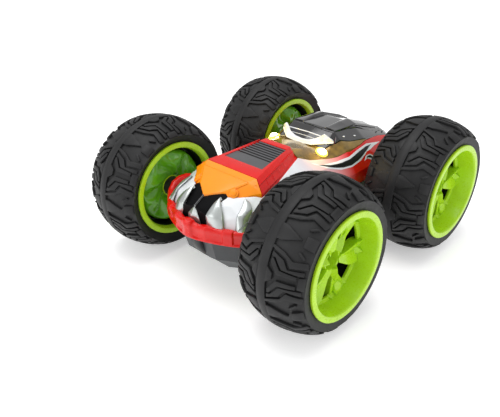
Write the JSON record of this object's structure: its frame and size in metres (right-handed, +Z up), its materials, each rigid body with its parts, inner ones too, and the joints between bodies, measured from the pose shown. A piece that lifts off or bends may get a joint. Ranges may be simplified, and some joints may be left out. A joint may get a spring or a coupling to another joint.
{
  "type": "radio-controlled stunt car",
  "caption": "Double-sided radio-controlled stunt car with big balloon tyres on lime wheels, a low body between them with a toothed nose, lit lamps and a black canopy, and a geared rear drive.",
  "frame": {"origin": "on the ground, under the middle of the four tyres", "axes": "+Z up, the nose points along -Y, +X is the car's left side"},
  "size_m": [0.2094, 0.24, 0.104],
  "materials": {
    "tyre_rubber": "moulded tread, matt",
    "lime_plastic": "glossy moulded lime green",
    "black_plastic": "satin black",
    "chassis_plastic": "satin dark grey",
    "grey_plastic": "satin grey",
    "steel": "drawn rod",
    "screw_steel": "bright zinc",
    "gear_plastic": "natural nylon",
    "brass": "turned",
    "motor_can": "pressed steel can",
    "cell_wrap": "shrink sleeve",
    "board_green": "solder mask",
    "lamp": "clear lens, lit",
    "red_plastic": "glossy red",
    "orange_plastic": "glossy orange",
    "white_plastic": "glossy white",
    "black_gloss": "glossy black",
    "amber_window": "tinted, metallic backed",
    "silver_plastic": "silver paint on plastic"
  },
  "bodies": {
    "chassis": {"axle_bushes": "brass", "battery_cells": "cell_wrap", "battery_contacts": "steel", "board_components": "black_plastic", "body_screws": "screw_steel", "body_shell": "red_plastic", "brow_band": "white_plastic", "bumper_lip": "red_plastic", "circuit_board": "board_green", "cowl_windows": "amber_window", "fangs": "silver_plastic", "front_axle_block": "black_plastic", "gearbox_cover_left": "black_plastic", "gearbox_cover_right": "black_plastic", "gearbox_housing": "black_plastic", "headlights": "lamp", "hood_insert": "grey_plastic", "hood_panel": "red_plastic", "jaw_panels": "white_plastic", "lower_chassis": "chassis_plastic", "motor_left": "motor_can", "motor_right": "motor_can", "mouth_grille": "black_plastic", "nose_panel": "orange_plastic", "rear_panel": "black_plastic", "reduction_shafts": "steel", "roof_canopy": "black_gloss", "roof_rails": "black_gloss", "switch_housing": "black_plastic", "windshield": "black_gloss"},
    "wheel_front_left": {"tyre_front_left": "tyre_rubber", "rim_front_left": "lime_plastic", "hex_adaptor_front_left": "black_plastic", "axle_front_left": "steel", "wheel_screw_front_left": "screw_steel"},
    "wheel_front_right": {"tyre_front_right": "tyre_rubber", "rim_front_right": "lime_plastic", "hex_adaptor_front_right": "black_plastic", "axle_front_right": "steel", "wheel_screw_front_right": "screw_steel"},
    "wheel_rear_left": {"tyre_rear_left": "tyre_rubber", "rim_rear_left": "lime_plastic", "hex_adaptor_rear_left": "black_plastic", "axle_rear_left": "steel", "wheel_screw_rear_left": "screw_steel", "axle_gear_left": "gear_plastic"},
    "wheel_rear_right": {"tyre_rear_right": "tyre_rubber", "rim_rear_right": "lime_plastic", "hex_adaptor_rear_right": "black_plastic", "axle_rear_right": "steel", "wheel_screw_rear_right": "screw_steel", "axle_gear_right": "gear_plastic"},
    "reduction_left": {"reduction_gear_left": "gear_plastic"},
    "rotor_left": {"motor_pinion_left": "brass"},
    "reduction_right": {"reduction_gear_right": "gear_plastic"},
    "rotor_right": {"motor_pinion_right": "brass"},
    "door": {"battery_door": "chassis_plastic", "battery_door_screw": "screw_steel"},
    "switch_slider": {"power_switch": "black_plastic"}
  },
  "joints": [
    {"name": "wheel_front_left_spin", "type": "hinge", "parent": "chassis", "child": "wheel_front_left", "pos_m": [0.078, -0.068, 0.052], "axis": [1, 0, 0], "continuous": true},
    {"name": "wheel_front_right_spin", "type": "hinge", "parent": "chassis", "child": "wheel_front_right", "pos_m": [-0.078, -0.068, 0.052], "axis": [1, 0, 0], "continuous": true},
    {"name": "wheel_rear_left_spin", "type": "hinge", "parent": "chassis", "child": "wheel_rear_left", "pos_m": [0.078, 0.068, 0.052], "axis": [1, 0, 0], "continuous": true},
    {"name": "wheel_rear_right_spin", "type": "hinge", "parent": "chassis", "child": "wheel_rear_right", "pos_m": [-0.078, 0.068, 0.052], "axis": [1, 0, 0], "continuous": true},
    {"name": "reduction_left_spin", "type": "hinge", "parent": "chassis", "child": "reduction_left", "pos_m": [0.0295, 0.0512, 0.052], "axis": [1, 0, 0], "continuous": true},
    {"name": "rotor_left_spin", "type": "hinge", "parent": "chassis", "child": "rotor_left", "pos_m": [0.0295, 0.0358, 0.052], "axis": [1, 0, 0], "continuous": true},
    {"name": "reduction_right_spin", "type": "hinge", "parent": "chassis", "child": "reduction_right", "pos_m": [-0.0295, 0.0512, 0.052], "axis": [1, 0, 0], "continuous": true},
    {"name": "rotor_right_spin", "type": "hinge", "parent": "chassis", "child": "rotor_right", "pos_m": [-0.0295, 0.0358, 0.052], "axis": [1, 0, 0], "continuous": true},
    {"name": "door_release", "type": "slide", "parent": "chassis", "child": "door", "axis": [0, 0, -1], "range_m": [0, 0.012]},
    {"name": "switch_slide", "type": "slide", "parent": "chassis", "child": "switch_slider", "axis": [1, 0, 0], "range_m": [0, 0.004]}
  ],
  "couplings": [
    {"joint": "reduction_left_spin", "follows": "wheel_rear_left_spin", "ratio": -3},
    {"joint": "rotor_left_spin", "follows": "wheel_rear_left_spin", "ratio": 10.2},
    {"joint": "reduction_right_spin", "follows": "wheel_rear_right_spin", "ratio": -3},
    {"joint": "rotor_right_spin", "follows": "wheel_rear_right_spin", "ratio": 10.2}
  ]
}
